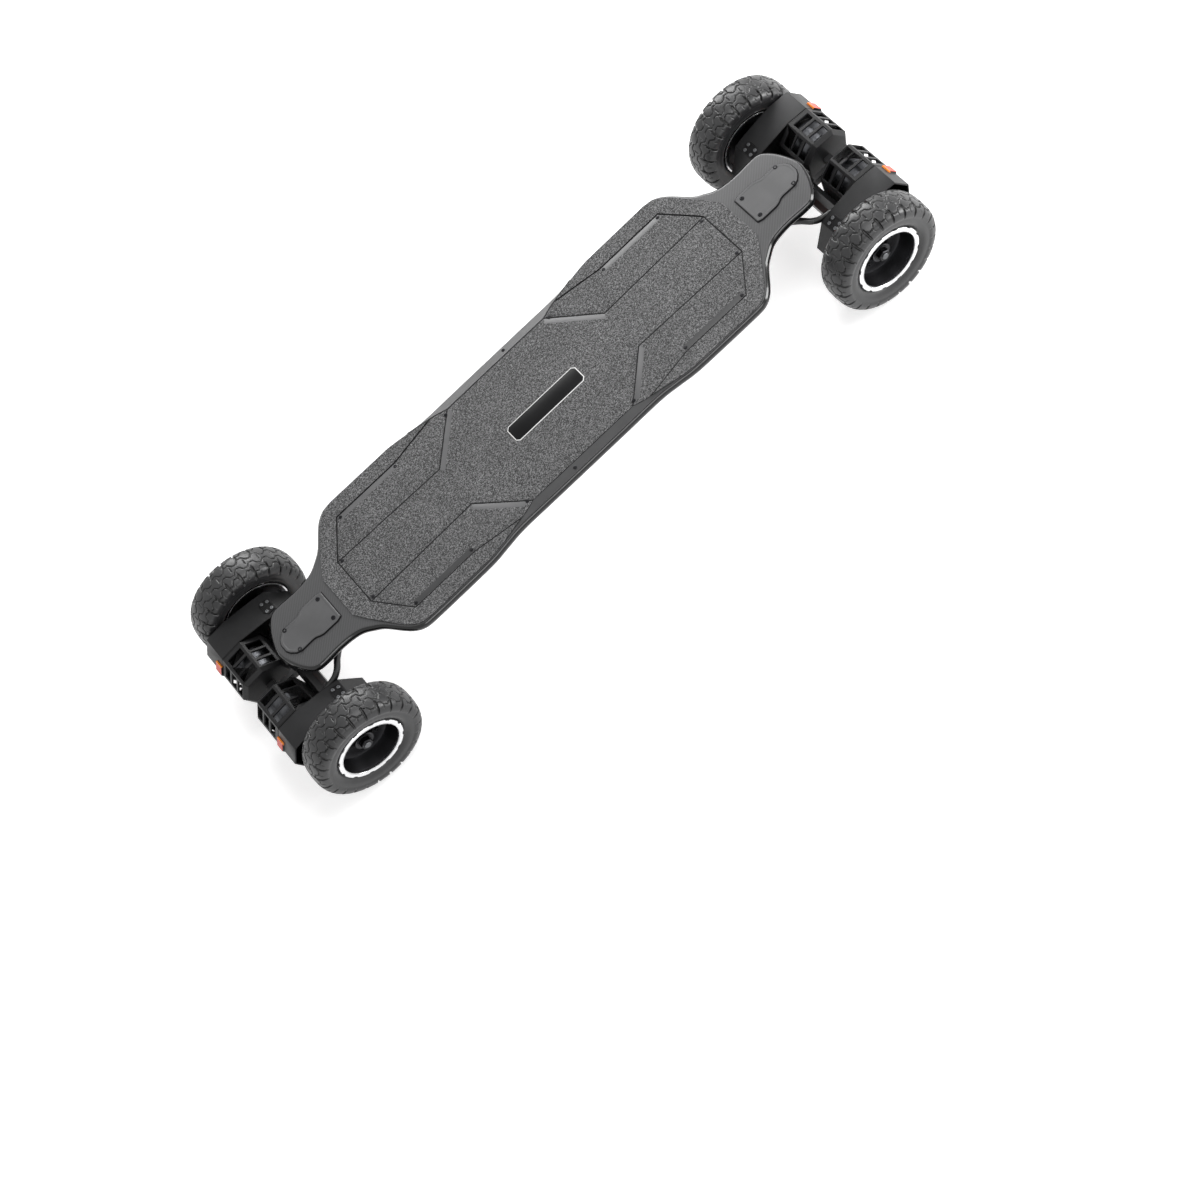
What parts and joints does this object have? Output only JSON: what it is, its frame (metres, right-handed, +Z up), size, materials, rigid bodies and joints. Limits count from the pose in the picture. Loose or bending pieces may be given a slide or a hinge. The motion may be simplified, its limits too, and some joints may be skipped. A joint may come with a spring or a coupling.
{
  "type": "electric mountainboard",
  "caption": "Long two-truck electric board with air tyres, a motor and gear drive at every wheel, and a battery tray under the deck.",
  "frame": {"origin": "on the ground under the middle of the deck", "axes": "+X to the nose, +Y to the left side when facing the nose, +Z up"},
  "size_m": [1.0984, 0.3332, 0.165],
  "materials": {
    "gloss_black": "glossy black laminate",
    "grip": "coarse matte grey grip",
    "tray": "satin dark grey moulding",
    "hatch": "satin dark grey moulding",
    "battery_wrap": "blue shrink wrap",
    "controller_case": "black anodised, finned",
    "soft_rubber": "soft black rubber",
    "black_metal": "black satin coat on forged aluminium",
    "bolt_steel": "blackened steel",
    "bushing": "orange urethane",
    "cable": "black cable jacket",
    "bright_steel": "plain steel",
    "guard_black": "matte black reinforced nylon",
    "orange_metal": "orange anodised",
    "tyre_rubber": "matte black tyre rubber",
    "hub_black": "black anodised",
    "bright_ring": "machined bright rim ring",
    "gear_steel": "cut steel",
    "motor_metal": "dark motor can"
  },
  "bodies": {
    "board": {"deck": "gloss_black", "grip_pad": "grip", "battery_tray": "tray", "front_hatch": "hatch", "rear_hatch": "hatch", "battery_pack": "battery_wrap", "motor_controller": "controller_case", "charge_port": "soft_rubber", "front_baseplate": "black_metal", "front_inner_kingpin": "bolt_steel", "front_inner_bushings": "bushing", "front_motor_leads": "cable", "rear_baseplate": "black_metal", "rear_inner_kingpin": "bolt_steel", "rear_inner_bushings": "bushing", "rear_motor_leads": "cable"},
    "front_link_arm": {"front_link": "black_metal", "front_outer_kingpin": "bolt_steel", "front_outer_bushings": "bushing"},
    "front_axle_beam": {"front_hanger": "black_metal", "front_axle": "bright_steel", "front_left_drive_housing": "guard_black", "front_left_motor_guard": "guard_black", "front_left_skid_pad": "orange_metal", "front_right_drive_housing": "guard_black", "front_right_motor_guard": "guard_black", "front_right_skid_pad": "orange_metal"},
    "front_left_wheel": {"front_left_tyre": "tyre_rubber", "front_left_wheel_hub": "hub_black", "front_left_bead_ring": "bright_ring", "front_left_wheel_gear": "gear_steel"},
    "front_left_rotor": {"front_left_motor_rotor": "motor_metal"},
    "front_right_wheel": {"front_right_tyre": "tyre_rubber", "front_right_wheel_hub": "hub_black", "front_right_bead_ring": "bright_ring", "front_right_wheel_gear": "gear_steel"},
    "front_right_rotor": {"front_right_motor_rotor": "motor_metal"},
    "rear_link_arm": {"rear_link": "black_metal", "rear_outer_kingpin": "bolt_steel", "rear_outer_bushings": "bushing"},
    "rear_axle_beam": {"rear_hanger": "black_metal", "rear_axle": "bright_steel", "rear_left_drive_housing": "guard_black", "rear_left_motor_guard": "guard_black", "rear_left_skid_pad": "orange_metal", "rear_right_drive_housing": "guard_black", "rear_right_motor_guard": "guard_black", "rear_right_skid_pad": "orange_metal"},
    "rear_left_wheel": {"rear_left_tyre": "tyre_rubber", "rear_left_wheel_hub": "hub_black", "rear_left_bead_ring": "bright_ring", "rear_left_wheel_gear": "gear_steel"},
    "rear_left_rotor": {"rear_left_motor_rotor": "motor_metal"},
    "rear_right_wheel": {"rear_right_tyre": "tyre_rubber", "rear_right_wheel_hub": "hub_black", "rear_right_bead_ring": "bright_ring", "rear_right_wheel_gear": "gear_steel"},
    "rear_right_rotor": {"rear_right_motor_rotor": "motor_metal"},
    "charge_cap": {"port_cap": "soft_rubber"},
    "power_key": {"power_button": "soft_rubber"}
  },
  "joints": [
    {"name": "front_inner_lean", "type": "hinge", "parent": "board", "child": "front_link_arm", "pos_m": [0.39461, 0, 0.11543], "axis": [0.7986, 0, 0.6018], "range_deg": [-10, 10], "stiffness_Nm_per_rad": 60, "deforming": ["front_inner_bushings"]},
    {"name": "front_outer_lean", "type": "hinge", "parent": "front_link_arm", "child": "front_axle_beam", "pos_m": [0.43077, 0, 0.09437], "axis": [0.7986, 0, 0.6018], "range_deg": [-10, 10], "stiffness_Nm_per_rad": 60, "deforming": ["front_outer_bushings", "front_motor_leads"]},
    {"name": "front_left_wheel_spin", "type": "hinge", "parent": "front_axle_beam", "child": "front_left_wheel", "pos_m": [0.46, 0.1406, 0.0825], "axis": [0, 1, 0], "continuous": true},
    {"name": "front_left_rotor_spin", "type": "hinge", "parent": "front_axle_beam", "child": "front_left_rotor", "pos_m": [0.50893, 0.06, 0.08999], "axis": [0, 1, 0], "continuous": true},
    {"name": "front_right_wheel_spin", "type": "hinge", "parent": "front_axle_beam", "child": "front_right_wheel", "pos_m": [0.46, -0.1406, 0.0825], "axis": [0, 1, 0], "continuous": true},
    {"name": "front_right_rotor_spin", "type": "hinge", "parent": "front_axle_beam", "child": "front_right_rotor", "pos_m": [0.50893, -0.06, 0.08999], "axis": [0, 1, 0], "continuous": true},
    {"name": "rear_inner_lean", "type": "hinge", "parent": "board", "child": "rear_link_arm", "pos_m": [-0.39461, 0, 0.11543], "axis": [-0.7986, 0, 0.6018], "range_deg": [-10, 10], "stiffness_Nm_per_rad": 60, "deforming": ["rear_inner_bushings"]},
    {"name": "rear_outer_lean", "type": "hinge", "parent": "rear_link_arm", "child": "rear_axle_beam", "pos_m": [-0.43077, 0, 0.09437], "axis": [-0.7986, 0, 0.6018], "range_deg": [-10, 10], "stiffness_Nm_per_rad": 60, "deforming": ["rear_outer_bushings", "rear_motor_leads"]},
    {"name": "rear_left_wheel_spin", "type": "hinge", "parent": "rear_axle_beam", "child": "rear_left_wheel", "pos_m": [-0.46, 0.1406, 0.0825], "axis": [0, 1, 0], "continuous": true},
    {"name": "rear_left_rotor_spin", "type": "hinge", "parent": "rear_axle_beam", "child": "rear_left_rotor", "pos_m": [-0.50893, 0.06, 0.08999], "axis": [0, 1, 0], "continuous": true},
    {"name": "rear_right_wheel_spin", "type": "hinge", "parent": "rear_axle_beam", "child": "rear_right_wheel", "pos_m": [-0.46, -0.1406, 0.0825], "axis": [0, 1, 0], "continuous": true},
    {"name": "rear_right_rotor_spin", "type": "hinge", "parent": "rear_axle_beam", "child": "rear_right_rotor", "pos_m": [-0.50893, -0.06, 0.08999], "axis": [0, 1, 0], "continuous": true},
    {"name": "charge_cap_swing", "type": "hinge", "parent": "board", "child": "charge_cap", "pos_m": [-0.208, 0.0906, 0.118], "axis": [0, 0, -1], "range_deg": [0, 120]},
    {"name": "power_press", "type": "slide", "parent": "board", "child": "power_key", "axis": [0, -1, 0], "range_m": [0, 0.0015], "stiffness_N_per_m": 1000}
  ],
  "couplings": [
    {"joint": "front_inner_lean", "follows": "front_outer_lean", "ratio": 1},
    {"joint": "front_left_rotor_spin", "follows": "front_left_wheel_spin", "ratio": -2.6667},
    {"joint": "front_right_rotor_spin", "follows": "front_right_wheel_spin", "ratio": -2.6667},
    {"joint": "rear_inner_lean", "follows": "rear_outer_lean", "ratio": 1},
    {"joint": "rear_left_rotor_spin", "follows": "rear_left_wheel_spin", "ratio": -2.6667},
    {"joint": "rear_right_rotor_spin", "follows": "rear_right_wheel_spin", "ratio": -2.6667}
  ]
}
